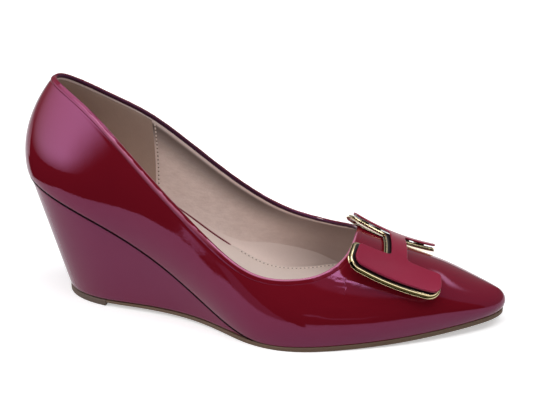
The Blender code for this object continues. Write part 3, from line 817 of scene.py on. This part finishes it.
def sockTop(x, turn, fromWall, look):  # height, share of turned lining, share of slit
    out = turn - fromWall
    lip = ease(turn - look["turnFrom"])
    left = np.clip(look["edge"] - fromWall, 0, look["edge"])
    rounding = look["edge"] - np.sqrt(look["edge"]**2 - left**2)
    parted = ease((x - look["slitFrom"]) / look["slitOpens"])
    parted = parted * ease((look["slitTo"] - x) / look["slitCloses"])
    slit = parted * np.exp(-(out / look["slitWidth"])**2)
    seam = (1 - parted) * lip * np.exp(-((out + look["sewn"]) / look["sewnWidth"])**2)
    turned = lip * ease(out / look["turnEdge"] + 0.5)
    padded = look["pad"] * (1 - ease((x - look["padFrom"]) / (look["padTo"] - look["padFrom"])))
    rise = padded + look["lip"] * turned
    rise = rise + look["sweep"] * np.clip(out, 0, None)**3 / np.maximum(turn, 1)**2
    rise = rise - look["edgeDrop"] * rounding * (1 - lip)
    rise = rise - look["slitDepth"] * slit - look["sewnDepth"] * seam
    return seatHeight(x) + look["thickness"] + rise, turned, slit


def makeSock(look):
    even = np.linspace(0, 1, look["columns"] + 1)
    crowded = 0.5 - 0.5 * np.cos(math.pi * even)
    stations = lastEnd * (look["crowding"] * crowded + (1 - look["crowding"]) * even)
    lateral, medial = (sockPlan(stations, side, look) for side in (-1, 1))
    width = np.linalg.norm(medial - lateral, axis=1)[:, None]
    turn = sockTurn(0.5 * (lateral[:, :1] + medial[:, :1]))
    outside = np.clip(turn + look["about"][0], 0, None) * np.array(look["margin"])
    about = np.clip(turn + np.array(look["about"]), 0, None)
    share = np.linspace(0, 1, look["middle"] + 1)[1:]
    inside = about[:, -1:] + (np.maximum(width / 2, about[:, -1:]) - about[:, -1:]) * share
    half = np.minimum(np.concatenate([outside, about, inside], axis=1), width / 2)
    fromWall = np.concatenate([half, half[:, -2::-1]], axis=1)
    bed = look["bed"] * ease(turn - look["turnFrom"]) * (fromWall <= 0)
    run = np.concatenate([half, width - half[:, -2::-1]], axis=1)
    run = run + np.where(run < width / 2, -bed, bed)
    way = (run / np.maximum(width, 1e-6))[..., None]
    plan = lateral[:, None] + (medial - lateral)[:, None] * way
    lateral, medial = (sockPlan(stations, side, look, under=True) for side in (-1, 1))
    foot = lateral[:, None] + (medial - lateral)[:, None] * np.clip(way, 0, 1)
    height, turned, slit = sockTop(plan[..., 0], np.broadcast_to(turn, run.shape), fromWall, look)
    top = np.concatenate([plan, height[..., None]], axis=2)
    bottom = np.concatenate([foot, (seatHeight(foot[..., 0]) + 0.05)[..., None]], axis=2)
    skin = Skin()
    skin.block([top, bottom], margin=turned, slit=slit)
    return skin.piece("sock", sockSkin, "sock_lining", ("insole",), crisp=60)


stitch = dict(
    length=1.35, width=0.80, height=0.62, spacing=2.1, around=8, along=6,
    hole=0.55, holeFlat=0.4,  # needle hole against a thread: length and height
    ahead=1.3, shares=(0.10, 0.98),  # seam in front of the heel grip
    start=105.0, end=166.0, proud=0.08,  # round the sock
)


def stitchForm(look):  # one thread end to end, a flattened bead
    turn = np.linspace(0, 2 * math.pi, look["around"] + 1)
    rise = np.linspace(0, math.pi, look["along"] + 1)[:, None]
    fat = np.sin(rise)**0.6
    return np.stack(np.broadcast_arrays(
        -np.cos(rise) * look["length"] / 2,
        fat * np.cos(turn) * look["width"] / 2,
        fat * np.sin(turn) * look["height"] / 2), axis=-1)


def sewLine(skin, path, ups, look):  # stitches along a path, each with its own up
    run = runAlong(path)
    form = stitchForm(look)
    for i, place in enumerate(np.arange(look["spacing"] / 2, run[-1] - 0.5, look["spacing"] / 2)):
        here, ahead, up = (np.array([np.interp(p, run, line[:, k]) for k in range(3)])
                           for p, line in ((place, path), (place + 0.4, path), (place, ups)))
        forward = unit(ahead - here)
        side = unit(np.cross(up, forward))
        up = np.cross(forward, side)
        bead = form * (look["hole"], 1, look["holeFlat"]) if i % 2 else form  # a hole after each thread
        skin.grid(here + bead[..., :1] * forward + bead[..., 1:2] * side + bead[..., 2:] * up, hole=i % 2)


def makeStitches(look):
    skin = Skin()
    for side in (-1, 1):  # down the seam in front of the heel grip
        seam = gripWall(side, dict(grip, reach=grip["reach"] + look["ahead"]), shoe["wall"] + 0.02)[-1]
        seam = seam[slice(*(int(len(seam) * share) for share in look["shares"]))]
        sewLine(skin, seam, np.tile([0.0, -side, 0.1], (len(seam), 1)), look)
    for side in (-1, 1):  # round the fore edge of the sock
        places = np.linspace(look["start"], look["end"], 120) / shoe["length"]
        path = sockPlan(stationAt(places), side, sock)
        turn = sockTurn(path[:, 0])
        path[:, 1] -= side * (turn + sock["sewn"])
        height = sockTop(path[:, 0], turn, turn + sock["sewn"], sock)[0] + look["proud"]
        path = np.column_stack([path, height])
        sewLine(skin, path, np.tile([0.0, 0.0, 1.0], (len(path), 1)), look)
    return skin.piece("liningStitches", threadSkin, "sock_lining", crisp=80)


makeGrip(grip)
makeSock(sock)
makeStitches(stitch)

# under the upper: wedge, lift, outsole

wedge = dict(inset=0.8, front=0.53, back=26.5, taper=0.20, columns=130, rows=26, edge=1.1)
outsole = dict(thickness=2.0, margin=0.4, merge=0.45, columns=170, edge=0.22, gap=0.04)
lift = dict(front=50.5, columns=48, edge=0.35)


def wedgeFoot(station, side):  # lower edge of the wedge, drawn in and forward at the back
    x, y = feather(station, wedge["inset"], side)
    front = wedge["front"] * shoe["length"]
    back = last["along"](0.0) * shoe["length"] + wedge["inset"]
    draw = np.clip((front - x) / (front - back), 0, 1)**2
    middle = last["swing"](station)
    return x + draw * (wedge["back"] - back), middle + (y - middle) * (1 - wedge["taper"] * draw)


def footStation(x):
    return solve(lambda station: wedgeFoot(station, 1)[0], x, 0.0, stationAt(wedge["front"]))


def outsoleTop(x):
    underUpper = seatHeight(x) - outsole["gap"]
    underWedge = np.minimum(archTop(x / shoe["length"]), underUpper)
    return np.where(x < shoe["ball"] * shoe["length"], underWedge, underUpper)


def outsoleBottom(x):
    forepart = seatHeight(x) - shoe["gap"] - outsole["thickness"]
    behind = x < shoe["ball"] * shoe["length"]
    return np.maximum(np.where(behind, archBottom(x / shoe["length"]), forepart), 0)


def outsolePlan(station, side):
    footX, footY = wedgeFoot(station, side)
    soleX, soleY = feather(station, -outsole["margin"], side)
    merge = ease((last["along"](station) - outsole["merge"]) / (shoe["ball"] - outsole["merge"]))
    return footX + (soleX - footX) * merge, footY + (soleY - footY) * merge


def slab(name, stations, plans, heights, finish, slot, nodes, layers):
    # between an upper and a lower outline; layers are (millimetres, share, inset) down the wall
    skin, walls = Skin(), []
    middle = last["swing"](stations)
    for side in (-1, 1):
        ends = []
        for plan, height in zip(plans, heights):
            x, y = plan(stations, side)
            ends.append(np.stack([x, y, height(x)], axis=-1))
        tall = np.maximum(ends[0][:, 2] - ends[1][:, 2], 1e-3)
        fit = np.minimum(1, tall / (2.5 * layers[0][2]))  # rounding shrinks where the slab runs thin
        rows = []
        for down, share, inset in layers:
            way = (down * fit / tall + share)[:, None]
            row = ends[0] * (1 - way) + ends[1] * way
            out = row[:, 1] - middle
            row[:, 1] = middle + np.sign(out) * np.maximum(np.abs(out) - inset * fit, 0)
            rows.append(row)
        walls.append(rows)
    skin.block(walls)
    return skin.piece(name, finish, slot, nodes, crisp=50)


def softLayers(rows, edge):  # rounded at both ends of the wall
    turn = np.linspace(0, math.pi / 2, 5)
    rim = [(edge * (1 - math.cos(t)), 0, edge * (1 - math.sin(t))) for t in turn]
    body = [(edge * (1 - 2 * share), share, 0.0) for share in np.linspace(0, 1, rows + 1)[1:-1]]
    return rim + body + [(-down, 1, inset) for down, _, inset in rim[::-1]]


def makeWedge(look):
    stations = np.linspace(0, stationAt(look["front"]), look["columns"])
    return slab("wedgeHeel", stations, (lambda s, side: feather(s, look["inset"], side), wedgeFoot),
                (lambda x: seatHeight(x) - shoe["gap"], lambda x: outsoleTop(x) + shoe["gap"]),
                coverSkin, "wedge_cover", ("wedge_heel",), softLayers(look["rows"], look["edge"]))


def makeOutsole(look):
    stations = np.linspace(footStation(lift["front"] + shoe["gap"]), lastEnd, look["columns"])
    return slab("outsoleTan", stations, (outsolePlan, outsolePlan), (outsoleTop, outsoleBottom),
                soleSkin, "outsole_tan", ("outsole",), softLayers(3, look["edge"]))


def makeLift(look):
    stations = np.linspace(0, footStation(look["front"]), look["columns"])
    return slab("heelLift", stations, (wedgeFoot, wedgeFoot), (outsoleTop, np.zeros_like),
                liftSkin, "lift_rubber", ("heel_lift",), softLayers(3, look["edge"]))


# a dark tube standing for the shadow line under the upper's lasted edge
groove = dict(inset=0.90, drop=0.35, out=0.50, tall=0.90, columns=140, around=10,
              deep=(0.012, 0.0008, 0.0035), warm=(0.022, 0.0014, 0.0060))


def grooveFinish(name, look):
    made = Finish(name)
    cloud = made.noise(made.place(), 300.0, 2.0)
    return made.set({
        "Base Color": made.mix(cloud, look["deep"], look["warm"]),
        "Roughness": 0.85 + cloud * 0.1,
        "Specular IOR Level": 0.05,
    })


def makeGroove(look):  # dark tube in the seam between upper and wedge, round the heel: a painted shadow line
    stations = np.linspace(0, stationAt(wedge["front"]), look["columns"])
    sides = [np.stack(feather(line, look["inset"], side), axis=-1)
             for side, line in ((-1, stations[::-1]), (1, stations[1:]))]
    plan = np.concatenate(sides)
    forward = unit(np.gradient(plan, axis=0))
    turn = np.linspace(0, 2 * math.pi, look["around"] + 1)
    outward = np.stack([-forward[:, 1], forward[:, 0]], axis=-1)
    out = outward[:, None] * np.cos(turn)[None, :, None] * look["out"]
    height = (seatHeight(plan[:, 0]) - look["drop"])[:, None] + np.sin(turn) * look["tall"]
    rows = np.concatenate([plan[:, None] + out, height[..., None]], axis=2)
    skin = Skin()
    skin.grid(rows)
    for end in (rows[0], rows[-1]):
        skin.grid([end, np.broadcast_to(end[:-1].mean(axis=0), end.shape)])
    return skin.piece("heelGroove", grooveFinish("grooveShadow", look), "wedge_cover", crisp=80)


makeWedge(wedge)
makeGroove(groove)
makeOutsole(outsole)
makeLift(lift)

# bow: plate on studs over a frame

bow = dict(
    at=0.776, lift=0.75, turn=4.5, pitch=3.7, roll=4.4, radius=50.0, sag=115.0,
    length=43.6, waist=40.6, width=51.2, neck=8.0, slot=23.8, flare=2.4, corner=4.0, fillet=2.4,
    frame=(1.4, 2.4), plate=(0.8, 1.3),  # thickness at the slot and at the tips
    rim=1.05, frameEdge=0.42, plateEdge=0.40, plateShift=0.9,
    spread=0.8,  # lower edge of the frame stands out
    flute=0.30, fluteShares=[(0.05, 0), (0.14, 1), (0.84, 1), (0.95, 0)],  # groove in that edge
    stud=0.6, studAcross=19.0, studDepth=5.0, studEdge=0.12,
    studs=[(6.0, 9.0), (12.5, 16.5)],
    columns=36, arcSteps=8,
)


def roundedPath(corners, radii, steps, runs):  # arcs at the inner corners, straight runs cut up
    corners = np.array(corners, float)
    path = [corners[0]]
    for before, corner, after, radius in zip(corners, corners[1:], corners[2:], radii):
        back, ahead = unit(before - corner), unit(after - corner)
        half = math.acos(back @ ahead) / 2
        middle = corner + unit(back + ahead) * radius / math.sin(half)
        start = corner + back * radius / math.tan(half) - middle
        finish = corner + ahead * radius / math.tan(half) - middle
        sweep = math.pi - 2 * half
        arc = [middle + (math.sin((1 - s) * sweep) * start + math.sin(s * sweep) * finish)
               / math.sin(sweep) for s in np.linspace(0, 1, steps + 1)]
        first = path[-1]
        path += [first + (arc[0] - first) * s for s in np.linspace(0, 1, runs + 1)[1:-1]]
        path += arc
    return np.array(path)


def bowRows(rim, look):  # across the bow, and its half length at each place
    neck, slot = look["neck"] / 2 + rim, look["slot"] / 2 - rim
    waist, wing, tip = (look[name] / 2 + rim for name in ("waist", "length", "width"))
    corners = [(0, neck), (slot, neck), (slot + look["flare"], waist), (tip, wing), (tip, 0)]
    radii = [look["fillet"] - rim, look["fillet"] + rim, look["corner"] + rim]
    path = roundedPath(corners, radii, look["arcSteps"], 8)
    return np.concatenate([-path[:0:-1, 0], path[:, 0]]), np.concatenate([path[:0:-1, 1], path[:, 1]])


def bowPlace(look):
    station, step = stationAt(look["at"]), 1e-3
    along = unit(lastPoint(station + step, 1.0, 1) - lastPoint(station - step, 1.0, 1))
    up = lastNormal(station, 1.0, 1) + lastNormal(station, 1.0, -1)
    across = unit(np.cross(up, along))
    up = np.cross(along, across)
    seat = lastPoint(station, 1.0, 1) + up * look["lift"]
    turn, pitch, roll = (math.radians(look[name]) for name in ("turn", "pitch", "roll"))
    along = along * math.cos(turn) + across * math.sin(turn)
    across = np.cross(up, along)
    along = along * math.cos(pitch) - up * math.sin(pitch)
    up = np.cross(along, across)
    across = across * math.cos(roll) - up * math.sin(roll)
    return seat, along, across, np.cross(along, across)


bowSeat, bowAlong, bowAcross, bowUp = bowPlace(bow)


def bowPoint(along, across, height):  # bent round the crown and up at its ends
    angle = across / bow["radius"]
    out = (bow["radius"] + height) * np.sin(angle)
    rise = (bow["radius"] + height) * np.cos(angle) - bow["radius"] + along**2 / (2 * bow["sag"])
    return (bowSeat + along[..., None] * bowAlong + out[..., None] * bowAcross
            + rise[..., None] * bowUp)


def bowLevels(across, look):  # frame low and top, stud heads, plate low and top
    slot = look["slot"] / 2
    outward = np.clip((np.abs(across) - slot) / (look["width"] / 2 - slot), 0, 1)
    frameThick, plateThick = (near + (far - near) * outward
                              for near, far in (look["frame"], look["plate"]))
    plateTop = look["frame"][0] + look["stud"] + shoe["gap"] + look["plate"][0] + 0 * outward
    plateLow = plateTop - plateThick
    head = plateLow - shoe["gap"]
    frameTop = head - look["stud"]
    return frameTop - frameThick, frameTop, head, plateLow, plateTop


def bowSheet(skin, rim, faces, edge, look, flute=0.0, shift=0.0):
    # one bow-shaped layer with rounded edges
    turn = np.linspace(0, math.pi / 2, 6)
    steps = [(edge * (1 - math.sin(t)), edge * (1 - math.cos(t))) for t in turn]
    # distance in from both faces, share of the way between, inset, groove
    layers = [(within, 0.0, inset, 0) for within, inset in steps[::-1]]
    layers += [(edge, share, flute * deep, deep) for share, deep in look["fluteShares"] if flute]
    layers += [(within, 1.0, inset, 0) for within, inset in steps]
    share = np.linspace(-1, 1, look["columns"] + 1)[None, :]
    sheets = []
    for within, between, inset, _ in layers:
        across, half = bowRows(rim - inset + (1 - between) * look["spread"] * (flute > 0), look)
        levels = bowLevels(across, look)
        low, high = levels[faces[0]] + within, levels[faces[1]] - within
        along = half[:, None] * share + shift
        height = low + (high - low) * between
        spots = (np.broadcast_to(v[:, None], along.shape) for v in (across, height))
        sheets.append(bowPoint(along, *spots))
    # dark on the frame's top face, under the plate
    inlay = np.zeros((len(layers), *along.shape))
    inlay[-1, 1:-1, 1:-1] = 1
    skin.block(sheets, inlay=inlay, flute=np.array([layer[-1] for layer in layers])[:, None, None])


def bowStud(skin, along, across, look):
    a, c = np.linspace(*along, 5)[None, :], np.linspace(*across, 7)[:, None]
    low, head = (bowLevels(c, look)[i] for i in (1, 2))
    middles = [np.mean(along), np.mean(across)]
    loops = []
    for height, inset in ((low - 0.05, 0.0), (head - look["studEdge"], 0.0), (head, look["studEdge"])):
        spots = [middle + (v - middle) * (1 - 2 * inset / abs(span[1] - span[0]))
                 for v, middle, span in zip((a, c), middles, (along, across))]
        loops.append(bowPoint(*np.broadcast_arrays(*spots, height)))
    skin.block(loops)


def makeBow(look):
    skin = Skin()
    bowSheet(skin, look["rim"], (0, 1), look["frameEdge"], look, look["flute"])
    skin.piece("bowFrame", goldSkin, "polished_gold", ("bow_frame",), crisp=65)
    skin = Skin()
    for wing in (-1, 1):
        across = wing * look["studAcross"] + np.array([-0.5, 0.5]) * look["studDepth"]
        for near, far in look["studs"]:
            for along in ((near, far), (-far, -near)):
                bowStud(skin, along, across, look)
    skin.piece("bowStuds", goldSkin, "polished_gold", crisp=50)
    skin = Skin()
    bowSheet(skin, 0.0, (3, 4), look["plateEdge"], look, shift=look["plateShift"])
    skin.piece("bowPlate", satinSkin, "satin_burgundy", ("bow_plate",), crisp=65)


makeBow(bow)

# floor, light and camera

studio = dict(
    floorSize=9.0, floorColour=(0.93, 0.93, 0.935), floorRough=0.55, floorGlow=0.42,
    world=(0.86, 0.88, 0.92), worldStrength=0.40,
    aim=(0.0, 0.0, 0.05),  # what lamps and boxes face
    lamps=[  # what lights the shoe: name, azimuth, elevation, distance, width, height, watts
        ("lampTop", 20.0, 82.0, 1.00, 1.00, 0.80, 5.2),
        ("lampLeft", -55.0, 35.0, 0.90, 0.50, 0.50, 2.1),
        ("lampRight", 110.0, 45.0, 0.95, 0.45, 0.45, 1.3),
    ],
    # what the lacquer mirrors: name, azimuth, elevation, distance, width, height, glow, how soft the left
    # edge and the others are, and what the left, right, low and high edge fades to in shares of the sky
    boxes=[
        ("boxLeft", -60.0, 23.0, 0.85, 1.30, 0.98, 4.3, (1.5, 0.55), (3, 0, 0, 1)),
        ("boxSky", -22.0, 64.0, 1.00, 0.95, 0.60, 4.0, (0.30, 0.30), (1, 1, 1, 1)),
        ("boxCollar", 82.0, 60.0, 0.95, 0.50, 0.20, 6.0, (0.40, 0.40), (1, 1, 1, 1)),
        ("boxTop", 95.0, 80.0, 0.95, 1.00, 0.45, 1.6, (0.40, 0.40), (1, 1, 1, 1)),
        ("boxThroat", 55.0, 56.0, 0.80, 0.26, 0.20, 6.0, (0.35, 0.35), (1, 1, 1, 1)),
        ("boxToe", 122.0, 43.0, 0.80, 0.50, 0.09, 3.6, (0.80, 0.80), (1, 1, 1, 1)),
        ("boxSlot", 24.0, 10.0, 0.84, 0.50, 0.035, 0.6, (0.60, 0.60), (0, 0, 0, 0)),
    ],
    # dark flags that it mirrors: name, share of the height where it fades to the sky, foot and head in mm
    cards=[
        ("flagLow", 1.0,
         [(-100, 20, 0), (-100, -36, 0), (-83, -141, 0), (-42, -160, 0), (-16, -167, 0), (0, -166, 0),
          (12, -165, 0), (28, -165, 12), (51, -165, 42), (73, -165, 62), (94, -165, 60), (101, -165, 46),
          (114, -165, 33), (132, -165, 24), (170, -165, 5), (185, -165, 0)],
         [40, 40, 42, 50, 62, 90, 130] + [165] * 9),
        ("flagTable", 1.0,
         [(-100, 20, 1), (-100, -36, 1), (-83, -141, 1), (-42, -160, 1), (-16, -167, 1), (12, -165, 1)],
         [(-1019, 90, 1), (-960, -20, 1), (-750, -380, 1), (-560, -700, 1), (-450, -895, 1),
          (-369, -1036, 1)]),
        ("flagFront", 0.85,
         [(-260, -900, 190), (-150, -900, 176), (-68, -900, 150), (0, -900, 111), (80, -900, 62),
          (200, -900, 20), (900, -900, 20), (1350, -420, 20)],
         [1200] * 8),
    ],
)


def floorFinish(look):
    made = Finish("studioFloor")
    mottle = made.noise(made.place(), 9.0, 3.0)
    return made.set({
        "Base Color": made.mix(mottle * 0.06, look["floorColour"], (1.0, 1.0, 1.0)),
        "Roughness": look["floorRough"] + mottle * 0.1,
        "Specular IOR Level": 0.15,
        "Emission Color": (1.0, 1.0, 1.0),  # a lit table, white to its far edge
        "Emission Strength": look["floorGlow"],
    })


def glowFinish(name, glow):  # bright in the middle, fading to its edges
    made = Finish(name)
    return made.set({
        "Base Color": (0.0, 0.0, 0.0),
        "Emission Color": made.mix(made.mark("glow"), (0.0, 0.0, 0.0), (1.0, 0.99, 0.98)),
        "Emission Strength": glow,
        "Specular IOR Level": 0.0,
    })


def cardFinish(look):
    made = Finish("darkCard")
    felt = made.noise(made.place(), 40.0, 2.0)
    return made.set({
        "Base Color": made.mix(felt, (0.004, 0.004, 0.004), (0.010, 0.009, 0.009)),
        "Roughness": 0.9 + felt * 0.1,
        "Specular IOR Level": 0.0,
        "Emission Color": made.mix(made.mark("glow"), (0.0, 0.0, 0.0), look["world"]),
        "Emission Strength": look["worldStrength"],
    })


def stageSheet(name, rows, finish, **marks):
    rows = np.asarray(rows, float)
    mesh = meshOf(name, rows.reshape(-1, 3), gridFaces(*rows.shape[:2]), marks)
    mesh.materials.append(finish.material)
    made = putIn(name, mesh)
    return made


def mirrorOnly(made):  # seen in the lacquer and nowhere else
    made.visible_camera = made.visible_diffuse = made.visible_shadow = False
    made.visible_transmission = made.visible_volume_scatter = False


def heading(azimuth, elevation):  # from the shoe towards that side
    a, e = math.radians(azimuth), math.radians(elevation)
    return Vector((math.sin(a) * math.cos(e), -math.cos(a) * math.cos(e), math.sin(e)))


def makeBoxes(look):
    u = np.linspace(-1, 1, 33)
    sky = look["worldStrength"] * look["world"][0]
    for name, azimuth, elevation, distance, width, height, glow, soft, rims in look["boxes"]:
        back = np.array(heading(azimuth, elevation))
        right = unit(np.cross([0.0, 0.0, 1.0], back))
        up = np.cross(back, right)
        middle = np.array(look["aim"]) + back * distance
        rows = middle + u[None, :, None] * right * width / 2 + u[:, None, None] * up * height / 2
        fade = ease((1 - np.abs(u)) / soft[1])
        fadeAcross = ease((1 + u) / soft[0]) * ease((1 - u) / soft[1])
        side = ease((u + 1) / 2)
        across, upward = (first + (second - first) * side for first, second in (rims[:2], rims[2:]))
        rim = across[None, :] * upward[:, None] * sky / glow
        light = rim + (1 - rim) * fade[:, None] * fadeAcross[None, :]
        mirrorOnly(stageSheet(name, rows, glowFinish(name, glow), glow=light))


def makeCards(look):
    felt = cardFinish(look)
    up = np.linspace(0, 1, 17)[:, None]
    for name, fade, foot, head in look["cards"]:
        head = [top if isinstance(top, tuple) else (x, y, top) for (x, y, _), top in zip(foot, head)]
        foot, head = (np.array(line, float) + shoe["shift"] for line in (foot, head))
        rows = foot[None] * (1 - up[..., None]) + head[None] * up[..., None]
        glow = np.broadcast_to(ease((up - fade) / max(1 - fade, 1e-6)) * (fade < 1), rows.shape[:2])
        mirrorOnly(stageSheet(name, rows * mm, felt, glow=glow))


def makeStudio(look):
    ends = (-look["floorSize"] / 2, look["floorSize"] / 2)
    floor = stageSheet("floor", [[(x, y, 0) for x in ends] for y in ends], floorFinish(look))
    floor.visible_diffuse = False  # the table's own glow doesn't light the shoe
    makeBoxes(look)
    makeCards(look)
    for name, azimuth, elevation, distance, width, height, watts in look["lamps"]:
        lamp = bpy.data.lights.new(name, "AREA")
        lamp.shape, lamp.size, lamp.size_y = "RECTANGLE", width, height
        lamp.energy, lamp.color = watts, (1.0, 0.985, 0.97)
        made = putIn(name, lamp)
        back = heading(azimuth, elevation)
        made.location = Vector(look["aim"]) + back * distance
        made.rotation_euler = back.to_track_quat("Z", "Y").to_euler()
        made.visible_camera = made.visible_glossy = False
    world = bpy.data.worlds.new("studioWorld")
    world.use_nodes = True
    sky = world.node_tree.nodes["Background"]
    sky.inputs["Color"].default_value = (*look["world"], 1)
    sky.inputs["Strength"].default_value = look["worldStrength"]
    bpy.context.scene.world = world
    bpy.context.scene.view_settings.view_transform = "Standard"


camera = dict(azimuth=12.0, elevation=25.19, roll=0.41, distance=599.98, aim=(0.892, 4.684, 53.351),
              focal=1267.23, imageWidth=533, sensor=36.0)


def makeCamera(look):
    back = heading(look["azimuth"], look["elevation"])
    a, roll = math.radians(look["azimuth"]), math.radians(look["roll"])
    level = Vector((math.cos(a), math.sin(a), 0))
    up = back.cross(level)
    right = level * math.cos(roll) + up * math.sin(roll)
    up = back.cross(right)
    lens = bpy.data.cameras.new("camera")
    lens.sensor_width = look["sensor"]
    lens.lens = look["focal"] * look["sensor"] / look["imageWidth"]
    made = putIn("camera", lens)
    turn = Matrix((right, up, back)).transposed().to_4x4()
    made.matrix_world = Matrix.Translation((Vector(look["aim"]) + back * look["distance"]) * mm) @ turn
    bpy.context.scene.camera = made


makeStudio(studio)
makeCamera(camera)
print("studio and camera set")

# bring the scene up to date
bpy.context.view_layer.update()
